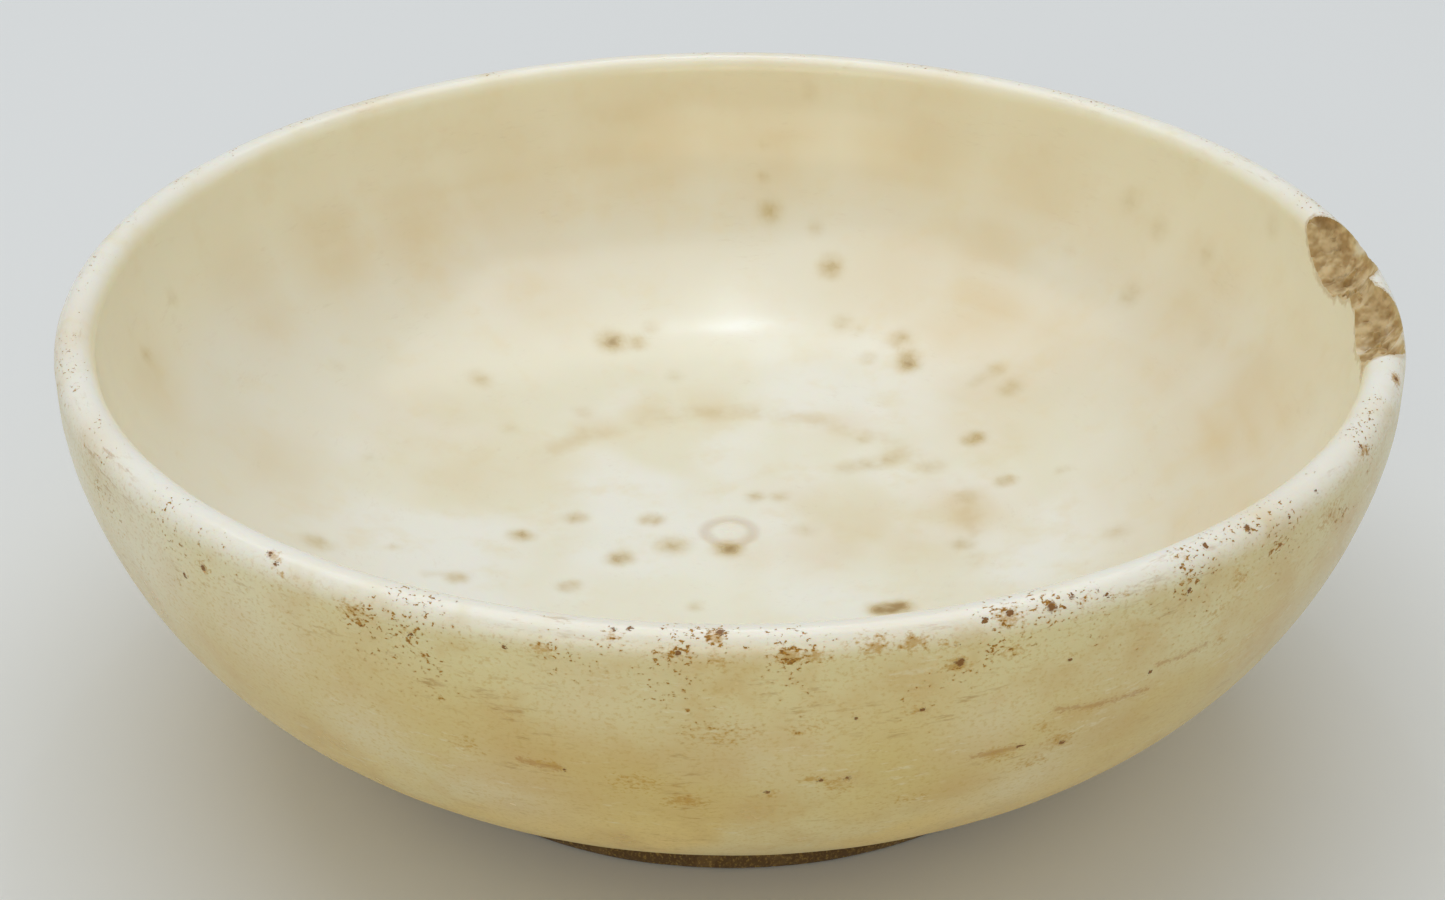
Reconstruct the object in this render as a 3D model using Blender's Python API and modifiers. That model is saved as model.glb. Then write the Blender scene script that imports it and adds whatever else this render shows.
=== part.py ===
"""Shallow bowl turned from one piece of marble, with a rounded lip, a low foot and a chipped rim.

The origin is at the middle of the foot's resting face, +Z is the turning axis, and lengths are in metres.
"""

import math

import bmesh
import bpy
from mathutils import Vector, noise

# Driving dimensions
RIM_RADIUS = 0.100
HEIGHT = 0.068
LIP_THICKNESS = 0.0058
INNER_DEPTH = 0.0446
FOOT_RADIUS = 0.057
FOOT_HEIGHT = 0.0095
RECESS_DEPTH = 0.003

# Places worked out from them
LIP_RADIUS = LIP_THICKNESS / 2
LIP_CENTRE_Z = HEIGHT - LIP_RADIUS
STRAIGHT_SIDE = 0.005
WIDEST_Z = LIP_CENTRE_Z - STRAIGHT_SIDE
INNER_RADIUS = RIM_RADIUS - LIP_THICKNESS
FLOOR_Z = HEIGHT - INNER_DEPTH
FOOT_ROUNDING = 0.0012
FOOT_RING_WIDTH = 0.010

# How square each curve is: 2 and 2 would make an ellipse
BELLY_POWERS = (4.14, 1.57)
INSIDE_POWERS = (3.5, 1.85)

# The chip. Each flake: azimuth in degrees, radius of its centre, half sizes across the lip, along it and down
FLAKES = {
    "flake_long": (6.8, 0.0930, (0.0075, 0.0126, 0.0081)),
    "flake_short": (-6.8, 0.0930, (0.0075, 0.0102, 0.0078)),
    "flake_between": (-1.0, 0.0920, (0.0050, 0.0062, 0.0058)),
}
FLAKE_CENTRE_ABOVE_RIM = 0.0010
# How far a flake's surface swells, as a share of its size, and how many swells there are
FLAKE_LUMPS = ((0.07, 2.3), (0.04, 6.1))

TURNING_STEPS = 96
MERGE = 1e-5

COLLECTION = "stone_bowl"
CUTTER_COLLECTION = "cutters"


def clear_scene():
    for obj in list(bpy.data.objects):
        bpy.data.objects.remove(obj, do_unlink=True)


def new_collection(name):
    collection = bpy.data.collections.new(name)
    bpy.context.scene.collection.children.link(collection)
    return collection


def superellipse(radius, drop, powers, share):
    """Radius and depth at a share (0 to 1) of the way from the rim down to the axis."""
    angle = share * math.pi / 2
    radial, vertical = powers
    return radius * math.cos(angle) ** (2 / radial), drop * math.sin(angle) ** (2 / vertical)


def belly_drop():
    """How far below the widest point the belly's curve would reach the axis, if the foot didn't cut it off."""
    radial, vertical = BELLY_POWERS
    top_of_foot = FOOT_RADIUS + FOOT_ROUNDING
    share = (1 - (top_of_foot / RIM_RADIUS) ** radial) ** (1 / vertical)
    return (WIDEST_Z - FOOT_HEIGHT) / share


def inside_curve(count=18):
    """From the middle of the floor up to the inner side of the lip."""
    points = [(0.0, FLOOR_Z)]
    for i in range(1, count):
        radius, depth = superellipse(INNER_RADIUS, LIP_CENTRE_Z - FLOOR_Z, INSIDE_POWERS, 1 - i / count)
        points.append((radius, LIP_CENTRE_Z - depth))
    return points


def arc(centre, radius, start_deg, end_deg, count):
    points = []
    for i in range(count + 1):
        angle = math.radians(start_deg + (end_deg - start_deg) * i / count)
        points.append((centre[0] + radius * math.cos(angle), centre[1] + radius * math.sin(angle)))
    return points


def belly_curve(count=15):
    """From the widest point down to the top of the foot."""
    drop = belly_drop()
    points = []
    for i in range(count + 1):
        radius, depth = superellipse(RIM_RADIUS, drop, BELLY_POWERS, i / count)
        if WIDEST_Z - depth > FOOT_HEIGHT + FOOT_ROUNDING:
            points.append((radius, WIDEST_Z - depth))
    return points


def foot_outline():
    """The foot's outer wall, its flat resting ring and the shallow turned recess under it."""
    rounding = FOOT_ROUNDING
    wall_top = (FOOT_RADIUS + rounding, FOOT_HEIGHT)
    lower_edge = arc((FOOT_RADIUS - rounding, rounding), rounding, 0, -90, 3)
    inner_edge = FOOT_RADIUS - FOOT_RING_WIDTH
    recess = [(inner_edge, 0.0), (inner_edge - RECESS_DEPTH, RECESS_DEPTH), (0.0, RECESS_DEPTH)]
    return [wall_top, (FOOT_RADIUS, FOOT_HEIGHT - rounding)] + lower_edge + recess


def bowl_profile():
    lip = arc((RIM_RADIUS - LIP_RADIUS, LIP_CENTRE_Z), LIP_RADIUS, 180, 0, 10)
    return inside_curve() + lip + belly_curve() + foot_outline()


def turned(name, profile, collection):
    """A profile in the XZ plane, turned about Z by a Screw modifier."""
    mesh = bpy.data.meshes.new(name)
    bm = bmesh.new()
    verts = [bm.verts.new((radius, 0.0, z)) for radius, z in profile]
    for first, second in zip(verts, verts[1:]):
        bm.edges.new((first, second))
    bm.to_mesh(mesh)
    bm.free()
    obj = bpy.data.objects.new(name, mesh)
    collection.objects.link(obj)
    screw = obj.modifiers.new("turning", "SCREW")
    screw.axis = "Z"
    screw.steps = TURNING_STEPS
    screw.render_steps = TURNING_STEPS
    screw.use_merge_vertices = True
    screw.merge_threshold = MERGE
    screw.use_smooth_shade = True
    return obj


def flake_cutter(name, azimuth_deg, centre_radius, size, collection):
    """A lumpy ellipsoid over the lip: what it cuts away is one shell-shaped flake."""
    mesh = bpy.data.meshes.new(name)
    bm = bmesh.new()
    bmesh.ops.create_icosphere(bm, subdivisions=4, radius=1.0)
    for vert in bm.verts:
        direction = vert.co.copy()
        lump = sum(height * noise.noise(direction * pace) for height, pace in FLAKE_LUMPS)
        vert.co = direction * (1 + lump)
        vert.co = Vector([c * s for c, s in zip(vert.co, size)])
    bm.to_mesh(mesh)
    bm.free()
    cutter = bpy.data.objects.new(name, mesh)
    collection.objects.link(cutter)
    azimuth = math.radians(azimuth_deg)
    x, y = centre_radius * math.cos(azimuth), centre_radius * math.sin(azimuth)
    cutter.location = (x, y, HEIGHT + FLAKE_CENTRE_ABOVE_RIM)
    cutter.rotation_euler = (0, 0, azimuth)
    cutter.hide_render = True
    cutter.display_type = "WIRE"
    return cutter


def chip_rim(bowl, collection):
    """Flakes broken off the lip side by side, which meet in low ridges."""
    for name, (azimuth_deg, centre_radius, size) in FLAKES.items():
        cut = bowl.modifiers.new(name, "BOOLEAN")
        cut.operation = "DIFFERENCE"
        cut.solver = "EXACT"
        cut.object = flake_cutter(name, azimuth_deg, centre_radius, size, collection)


def marble():
    material = bpy.data.materials.new("creamy_marble")
    material.use_nodes = True
    shader = material.node_tree.nodes["Principled BSDF"]
    shader.inputs["Base Color"].default_value = (0.70, 0.62, 0.44, 1.0)
    shader.inputs["Roughness"].default_value = 0.30
    shader.inputs["Metallic"].default_value = 0.0
    return material


def main():
    clear_scene()
    parts = new_collection(COLLECTION)
    cutters = new_collection(CUTTER_COLLECTION)
    bowl = turned("mortar_bowl", bowl_profile(), parts)
    chip_rim(bowl, cutters)
    bowl.data.materials.append(marble())


main()
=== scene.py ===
import math

import bpy
import numpy as np
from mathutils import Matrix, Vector, kdtree, noise


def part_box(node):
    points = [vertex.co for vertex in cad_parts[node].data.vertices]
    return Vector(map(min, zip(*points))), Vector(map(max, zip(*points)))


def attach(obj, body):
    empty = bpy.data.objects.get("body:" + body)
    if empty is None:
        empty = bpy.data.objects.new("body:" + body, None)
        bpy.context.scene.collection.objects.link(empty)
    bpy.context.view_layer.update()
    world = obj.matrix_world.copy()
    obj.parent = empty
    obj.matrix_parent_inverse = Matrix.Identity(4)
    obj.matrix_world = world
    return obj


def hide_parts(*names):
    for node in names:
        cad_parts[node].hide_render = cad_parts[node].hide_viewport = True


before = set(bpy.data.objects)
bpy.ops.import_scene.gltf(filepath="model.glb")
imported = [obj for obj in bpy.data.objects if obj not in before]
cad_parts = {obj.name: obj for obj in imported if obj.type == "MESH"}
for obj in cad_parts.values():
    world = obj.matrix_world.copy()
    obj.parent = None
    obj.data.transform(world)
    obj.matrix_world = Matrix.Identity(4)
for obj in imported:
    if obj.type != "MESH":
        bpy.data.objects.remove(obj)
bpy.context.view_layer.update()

# The visual model of a bowl turned from one piece of marble. Lengths are in metres unless a name says mm.
# The camera looks along +Y and the chipped side of the rim is at +X. Azimuths run from +X towards +Y.

NODE = "mortar_bowl"
MM = 0.001

node_low, node_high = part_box(NODE)
RIM_RADIUS = (node_high.x - node_low.x) / 2
HEIGHT = node_high.z

# The CAD profile's own sizes
LIP_THICKNESS = 0.0058
INNER_DEPTH = 0.0446
FOOT_RADIUS = 0.057
FOOT_HEIGHT = 0.0095
FOOT_ROUNDING = 0.0012
FOOT_RING_WIDTH = 0.010
RECESS_DEPTH = 0.003
STRAIGHT_SIDE = 0.005
BELLY_POWERS = (4.14, 1.57)
INSIDE_POWERS = (3.5, 1.85)

LIP_RADIUS = LIP_THICKNESS / 2
LIP_CENTRE_Z = HEIGHT - LIP_RADIUS
WIDEST_Z = LIP_CENTRE_Z - STRAIGHT_SIDE
INNER_RADIUS = RIM_RADIUS - LIP_THICKNESS
FLOOR_Z = HEIGHT - INNER_DEPTH

# Marks that the lathe left on the floor: how far out they lie, how deep they are cut, and how wide
CENTRE_MARK_RADIUS = 0.0038
CENTRE_MARK_DEPTH = 0.22 * MM
CENTRE_MARK_WIDTH = 0.7 * MM
FLOOR_RING_RADIUS = 0.0387
FLOOR_RING_DEPTH = 0.10 * MM
FLOOR_RING_WIDTH = 1.5 * MM
FLOOR_EDGE_RADIUS = 0.06

# Faint hollows left by polishing
DENT_DEPTH = 0.00005
DENT_SPACING = 9 * MM

# How far the hand-turned lip is out of round (a share of the radius) and out of level, each as
# (size, waves round the rim, phase)
OUT_OF_ROUND = ((0.0016, 2, 0.7), (0.0010, 3, 2.1))
OUT_OF_LEVEL = ((0.25 * MM, 2, 1.3), (0.12 * MM, 5, 0.0))

# Mesh: columns round the bowl, points on each drawn curve, and the gap between rings
COLUMNS = 480
CURVE_POINTS = 1500
LIP_POINTS = 60
FOOT_EDGE_POINTS = 8
RING_GAP = {
    "floor_mark": 0.42 * MM,
    "inside": 1.9 * MM,
    "lip": 0.45 * MM,
    "belly": 1.15 * MM,
    "foot": 0.9 * MM,
    "underside": 5.0 * MM,
}


# ---------------------------------------------------------------- profile

def superellipse(radius, drop, powers, shares):
    """Radii and depths at shares (0 to 1) of the way from the rim down to the axis."""
    angles = shares * math.pi / 2
    radial, vertical = powers
    radii = radius * np.clip(np.cos(angles), 0, 1) ** (2 / radial)
    return radii, drop * np.sin(angles) ** (2 / vertical)


def belly_drop():
    """How far below the widest point the belly's curve would meet the axis if no foot cut it off."""
    radial, vertical = BELLY_POWERS
    top_of_foot = FOOT_RADIUS + FOOT_ROUNDING
    share = (1 - (top_of_foot / RIM_RADIUS) ** radial) ** (1 / vertical)
    return (WIDEST_Z - FOOT_HEIGHT) / share


def inside_outline():
    """From the middle of the floor up to the inner side of the lip."""
    shares = 1 - np.linspace(0, 1, CURVE_POINTS, endpoint=False) ** 2
    radii, depths = superellipse(INNER_RADIUS, LIP_CENTRE_Z - FLOOR_Z, INSIDE_POWERS, shares)
    return np.column_stack([radii, LIP_CENTRE_Z - depths])


def lip_outline():
    angles = np.linspace(math.pi, 0, LIP_POINTS)
    radii = RIM_RADIUS - LIP_RADIUS + LIP_RADIUS * np.cos(angles)
    return np.column_stack([radii, LIP_CENTRE_Z + LIP_RADIUS * np.sin(angles)])


def belly_outline():
    """From the widest point down to the top of the foot."""
    radii, depths = superellipse(RIM_RADIUS, belly_drop(), BELLY_POWERS, np.linspace(0, 1, CURVE_POINTS))
    heights = WIDEST_Z - depths
    kept = heights > FOOT_HEIGHT + FOOT_ROUNDING
    return np.column_stack([radii[kept], heights[kept]])


def foot_outline():
    angles = np.linspace(0, -math.pi / 2, FOOT_EDGE_POINTS)
    edge_radii = FOOT_RADIUS - FOOT_ROUNDING + FOOT_ROUNDING * np.cos(angles)
    edge = np.column_stack([edge_radii, FOOT_ROUNDING + FOOT_ROUNDING * np.sin(angles)])
    wall = [(FOOT_RADIUS + FOOT_ROUNDING, FOOT_HEIGHT), (FOOT_RADIUS, FOOT_HEIGHT - FOOT_ROUNDING)]
    return np.vstack([wall, edge])


def underside_outline():
    inner_edge = FOOT_RADIUS - FOOT_RING_WIDTH
    return np.array(
        [
            (FOOT_RADIUS - FOOT_ROUNDING, 0.0),
            (inner_edge, 0.0),
            (inner_edge - RECESS_DEPTH, RECESS_DEPTH),
            (0.0, RECESS_DEPTH),
        ]
    )


def spaced(points, gap):
    """The same line with points about gap apart, its two ends kept."""
    lengths = np.concatenate([[0], np.cumsum(np.linalg.norm(np.diff(points, axis=0), axis=1))])
    count = max(2, round(lengths[-1] / gap) + 1)
    at = np.linspace(0, lengths[-1], count)
    return np.column_stack([np.interp(at, lengths, points[:, i]) for i in (0, 1)])


def bowl_rows():
    """(radius, height) of every ring of the mesh: floor's middle, lip, foot, underside's middle."""
    inside = inside_outline()
    near_mark = inside[:, 0] < 2.2 * CENTRE_MARK_RADIUS
    wall_foot = (FOOT_RADIUS + FOOT_ROUNDING, FOOT_HEIGHT)
    sections = [
        (inside[near_mark], RING_GAP["floor_mark"]),
        (inside[~near_mark], RING_GAP["inside"]),
        (lip_outline(), RING_GAP["lip"]),
        (np.vstack([lip_outline()[-1:], belly_outline(), [wall_foot]]), RING_GAP["belly"]),
        (foot_outline(), RING_GAP["foot"]),
        (underside_outline(), RING_GAP["underside"]),
    ]
    rows = [spaced(points, gap) for points, gap in sections]
    joined = np.vstack(rows)
    apart = np.linalg.norm(np.diff(joined, axis=0), axis=1) > 0.05 * MM
    return joined[np.concatenate([[True], apart])]


# ---------------------------------------------------------------- body of the bowl

def turning_marks(radii, heights):
    """How the grooves of the centre mark and of the floor ring change the floor's height."""
    on_floor = (heights > FLOOR_Z - MM) & (radii < FLOOR_EDGE_RADIUS)
    mark = -CENTRE_MARK_DEPTH * np.exp(-(((radii - CENTRE_MARK_RADIUS) / CENTRE_MARK_WIDTH) ** 2))
    ring = -FLOOR_RING_DEPTH * np.exp(-(((radii - FLOOR_RING_RADIUS) / FLOOR_RING_WIDTH) ** 2))
    return np.where(on_floor, mark + ring, 0)


def waves(azimuths, terms):
    """The sum of sine waves round the rim."""
    return sum(size * np.sin(count * azimuths + phase) for size, count, phase in terms)


def hand_turned(radii, heights, azimuths):
    """Points of the surface, a little out of true: the lip is neither quite round nor quite level."""
    up = np.clip(heights / HEIGHT, 0, 1)
    turned_radii = radii * (1 + waves(azimuths, OUT_OF_ROUND) * up)
    x = turned_radii * np.cos(azimuths)
    y = turned_radii * np.sin(azimuths)
    return np.stack([x, y, heights + waves(azimuths, OUT_OF_LEVEL) * up**2], axis=-1)


def dented(mesh):
    """The same surface with the faint hollows that hand polishing leaves."""
    points = vertex_points(mesh)
    normals = np.empty(len(points) * 3)
    mesh.vertex_normals.foreach_get("vector", normals)
    depths = DENT_DEPTH * cloud_noise(points, DENT_SPACING, octaves=2, seed=4.0)
    points = points + normals.reshape(-1, 3) * depths[:, None]
    mesh.vertices.foreach_set("co", points.ravel())
    mesh.update()
    return mesh


def turned_mesh(name):
    """The closed surface of revolution, as rings of quads with a fan at each end."""
    rows = bowl_rows()
    rings = rows[1:-1]
    azimuths = np.linspace(0, 2 * math.pi, COLUMNS, endpoint=False)
    radii = np.repeat(rings[:, :1], COLUMNS, axis=1)
    heights = np.repeat(rings[:, 1:], COLUMNS, axis=1)
    heights = heights + turning_marks(radii, heights)
    grid = hand_turned(radii, heights, azimuths[None, :]).reshape(-1, 3)
    ends = np.array([[0, 0, rows[0, 1]], [0, 0, rows[-1, 1]]])
    points = np.vstack([grid, ends])
    index = np.arange(len(rings) * COLUMNS).reshape(len(rings), COLUMNS)
    after = np.roll(index, -1, axis=1)
    quads = np.stack([index[:-1], index[1:], after[1:], after[:-1]], axis=-1).reshape(-1, 4)
    floor_fan = [(len(grid), int(a), int(b)) for a, b in zip(index[0], after[0])]
    under_fan = [(len(grid) + 1, int(b), int(a)) for a, b in zip(index[-1], after[-1])]
    mesh = bpy.data.meshes.new(name)
    mesh.from_pydata(points.tolist(), [], quads.tolist() + floor_fan + under_fan)
    mesh.update()
    return mesh


# ---------------------------------------------------------------- broken rim

# Each flake: azimuth in degrees, radius of its centre, half sizes across the lip, along it and down
FLAKES = (
    (6.8, 0.0930, (0.0075, 0.0126, 0.0081)),
    (-6.8, 0.0930, (0.0075, 0.0102, 0.0078)),
    (-1.0, 0.0920, (0.0050, 0.0062, 0.0058)),
    (-11.8, 0.0935, (0.0070, 0.0070, 0.0068)),
)
FLAKE_CENTRE_Z = HEIGHT + 0.0010

# The block that cuts the chip: its span round the rim, in degrees, and across it, and its grid's steps
CHIP_SPAN_DEG = (-17, 19)
CHIP_STEP_DEG = 0.2
CHIP_RADII = (0.084, 0.1045)
CHIP_STEP = 0.35 * MM
CHIP_TOP = HEIGHT + 8 * MM
UNBROKEN = HEIGHT + 4 * MM

# Roughness of the fracture: swells and grit as (spacing, height), and crystal facets as (seed, size).
# All of it sets in from the first of the calm radii to the second, so the fracture's inner edge is clean.
SWELL = (4 * MM, 0.9 * MM)
GRIT = (0.9 * MM, 0.12 * MM)
FACETS = ((11, 2.6 * MM), (12, 1.2 * MM))
FACET_CORNERS = ((0.086, -0.040), (0.104, 0.036))
FACET_AREA = 0.075 * 0.014
FACET_TILT = 0.20
FACET_STEP = 0.10
CALM_RADII = (0.0925, 0.0965)


def flake_floor(x, y):
    """Height of the fracture under each point: the lowest of the flakes' shell-shaped beds."""
    lowest = np.full(x.shape, UNBROKEN)
    for azimuth_deg, centre_radius, (across, along, down) in FLAKES:
        azimuth = math.radians(azimuth_deg)
        out = x * math.cos(azimuth) + y * math.sin(azimuth) - centre_radius
        side = y * math.cos(azimuth) - x * math.sin(azimuth)
        inside = 1 - (out / across) ** 2 - (side / along) ** 2
        bed = FLAKE_CENTRE_Z - down * np.sqrt(np.clip(inside, 0, 1))
        lowest = np.where(inside > 0, np.minimum(lowest, bed), lowest)
    return lowest


def crystal_facets(x, y, seed, size):
    """Small tilted planes, one to each cell of about size, as broken marble shows."""
    draw = np.random.default_rng(seed)
    count = int(FACET_AREA / size**2)
    centres = draw.uniform(*FACET_CORNERS, (count, 2))
    tilts = draw.normal(0, FACET_TILT, (count, 2))
    steps = draw.normal(0, FACET_STEP, count) * size
    distance = (x[..., None] - centres[:, 0]) ** 2 + (y[..., None] - centres[:, 1]) ** 2
    nearest = distance.argmin(axis=-1)
    away = np.stack([x, y], axis=-1) - centres[nearest]
    return steps[nearest] + (away * tilts[nearest]).sum(axis=-1)


def cloud_noise(points, size, octaves=3, seed=0.0):
    """Fractal noise at each point, about -1 to 1, whose largest swells are size apart."""
    offset = Vector((seed, 2 * seed, 3 * seed))
    return np.array([noise.fractal(Vector(p) / size + offset, 1.0, 2.0, octaves) for p in points])


def fracture_cutter(name):
    """A block over the rim whose underside is the fracture: what it cuts away is the chip."""
    azimuths = np.radians(np.arange(*CHIP_SPAN_DEG, CHIP_STEP_DEG))
    radii = np.arange(*CHIP_RADII, CHIP_STEP)
    a, r = np.meshgrid(azimuths, radii, indexing="ij")
    x, y = r * np.cos(a), r * np.sin(a)
    floor = flake_floor(x, y)
    flat = np.stack([x, y, np.zeros_like(x)], axis=-1).reshape(-1, 3)
    swell = cloud_noise(flat, SWELL[0], octaves=1, seed=3.0).reshape(x.shape) * SWELL[1]
    grit = cloud_noise(flat, GRIT[0], octaves=1, seed=5.0).reshape(x.shape) * GRIT[1]
    broken = sum(crystal_facets(x, y, seed, size) for seed, size in FACETS)
    roughness = (swell + grit + broken) * rise(r, *CALM_RADII)
    floor = floor + np.where(floor < UNBROKEN - MM, roughness, 0)
    return grid_block(name, x, y, floor, CHIP_TOP)


def grid_block(name, x, y, floor, top):
    """A closed block over a grid: its underside follows floor, and its top is flat."""
    rows, columns = x.shape
    lower = np.stack([x, y, floor], axis=-1).reshape(-1, 3)
    upper = np.stack([x, y, np.full_like(x, top)], axis=-1).reshape(-1, 3)
    index = np.arange(rows * columns).reshape(rows, columns)
    corners = [index[:-1, :-1], index[:-1, 1:], index[1:, 1:], index[1:, :-1]]
    quads = np.stack(corners, axis=-1).reshape(-1, 4)
    rim = np.concatenate([index[0, :-1], index[:-1, -1], index[-1, :0:-1], index[:0:-1, 0]])
    after = np.roll(rim, -1)
    count = len(lower)
    sides = np.stack([rim, after, after + count, rim + count], axis=-1)
    faces = np.vstack([quads, quads[:, ::-1] + count, sides[:, ::-1]])
    mesh = bpy.data.meshes.new(name)
    mesh.from_pydata(np.vstack([lower, upper]).tolist(), [], faces.tolist())
    mesh.update()
    return mesh


def volume_sign(mesh):
    """Above 0 when the mesh's faces point outwards."""
    mesh.calc_loop_triangles()
    corners = np.empty(len(mesh.loop_triangles) * 3, dtype=np.int64)
    mesh.loop_triangles.foreach_get("vertices", corners)
    return np.linalg.det(vertex_points(mesh)[corners.reshape(-1, 3)]).sum()


def outward(mesh):
    if volume_sign(mesh) < 0:
        mesh.flip_normals()
    return mesh


def chipped(whole, cutter):
    """The bowl's mesh with the chip cut out of it; the fracture's faces keep material index 1."""
    bowl = bpy.data.objects.new("uncut", outward(whole))
    block = bpy.data.objects.new("cutter", outward(cutter))
    for obj in (bowl, block):
        bpy.context.scene.collection.objects.link(obj)
        for slot in ("polished", "broken"):
            obj.data.materials.append(bpy.data.materials.get(slot) or bpy.data.materials.new(slot))
    block.data.polygons.foreach_set("material_index", [1] * len(block.data.polygons))
    cut = bowl.modifiers.new("chip", "BOOLEAN")
    cut.operation = "DIFFERENCE"
    cut.solver = "EXACT"
    cut.object = block
    bpy.context.view_layer.update()
    result = bpy.data.meshes.new_from_object(bowl.evaluated_get(bpy.context.evaluated_depsgraph_get()))
    for obj in (bowl, block):
        bpy.data.objects.remove(obj, do_unlink=True)
    for slot in ("polished", "broken"):
        bpy.data.materials.remove(bpy.data.materials[slot])
    return result


def vertex_points(mesh):
    points = np.empty(len(mesh.vertices) * 3)
    mesh.vertices.foreach_get("co", points)
    return points.reshape(-1, 3)


def make_bowl():
    mesh = chipped(dented(turned_mesh("turned")), fracture_cutter("fracture"))
    mesh.name = "marble_bowl"
    bowl = bpy.data.objects.new("marble_bowl", mesh)
    bpy.context.scene.collection.objects.link(bowl)
    return bowl


# ---------------------------------------------------------------- wear

# Closer to the axis than this, noise along the turning keeps its length instead of growing shorter
CELLS_FROM_RADIUS = 0.03

# The attribute "outside" runs from 0 inside to 1 outside over the lip. Marks inside count up to the first
# share, and marks outside from the second.
INSIDE_UP_TO = 0.6
OUTSIDE_FROM = 0.15

# Sizes of the large clouds of tone and of the patches within them, and how flat smudges of dirt are
CLOUD_SIZE = 32 * MM
PATCH_SIZE = 11 * MM
DIRT_FLATTEN = 1.7

# Specks grow thicker over this range of heights
SPECK_BAND = (0.048, 0.063)

# The corner of the bowl that holds the chip, and how fast the stained edge round the chip fades
NEAR_CHIP_X = 0.07
NEAR_CHIP_Z = 0.045
EDGE_FADE = 1.2 * MM

# Every mark has its own place. Those that the photo shows follow it, and those behind are made up.

# Stains inside the bowl: azimuth in degrees, radius in mm, size in mm, strength
INSIDE_STAINS = (
    (76, 76, 2.8, 0.9), (85, 84, 2.8, 0.8), (86, 88, 1.6, 0.55), (86, 91, 1.3, 0.45),
    (79, 82, 2.2, 0.5), (81, 94, 2.4, 0.4), (110, 61, 3.2, 1.0), (106, 60, 2.4, 0.8),
    (103, 63, 2.0, 0.5), (135, 61, 2.6, 0.65), (101, 50, 2.2, 0.45), (72, 65, 2.8, 0.55),
    (69, 64, 2.2, 0.4), (65, 58, 2.2, 0.55), (62, 64, 2.6, 0.8), (59, 61, 2.4, 0.8),
    (58, 59, 2.6, 1.0), (45, 60, 2.0, 0.5), (44, 64, 2.4, 0.6), (39, 62, 2.6, 0.7),
    (33, 49, 2.4, 1.0), (16, 47, 2.1, 0.95), (14, 56, 1.6, 0.5), (-8, 61, 3.4, 0.5),
    (35, 84, 2.8, 0.6), (46, 86, 2.2, 0.35), (21, 84, 2.6, 0.35), (41, 92, 3.0, 0.45),
    (36, 91, 3.0, 0.45), (28, 91, 2.6, 0.45), (20, 94, 3.0, 0.4), (167, 92, 2.0, 0.5),
    (177, 91, 2.0, 0.55), (166, 61, 1.8, 0.4), (-167, 65, 2.8, 0.75), (-158, 45, 2.3, 0.8),
    (-160, 49, 1.6, 0.55), (-169, 53, 1.6, 0.45), (-176, 33, 2.3, 0.95), (171, 25, 2.4, 0.75),
    (-154, 19, 2.6, 0.95), (164, 13, 2.4, 0.85), (-154, 10, 3.2, 0.8), (-92, 5.2, 2.7, 1.1),
    (69, 12, 2.2, 0.65), (54, 14, 2.2, 0.6), (-145, 30, 2.4, 0.75), (-103, 23, 1.8, 0.6),
    (-46.5, 33.3, 2.2, 1.3), (-44.3, 34, 2.2, 1.3), (-42, 35, 2.2, 1.3), (52, 37, 2.2, 0.5),
    (46, 28, 2.8, 0.5), (43, 31, 2.8, 0.6), (40, 35, 2.8, 0.65), (30, 39, 3.0, 0.45),
    (14, 40, 3.0, 0.45), (-8, 37, 2.4, 0.65), (141, 48, 2.4, 0.4), (124, 45, 2.4, 0.45),
    (3, 12, 3.0, 0.45), (-150, 55, 1.8, 0.45), (152, 75, 2.0, 0.35),
)

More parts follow.
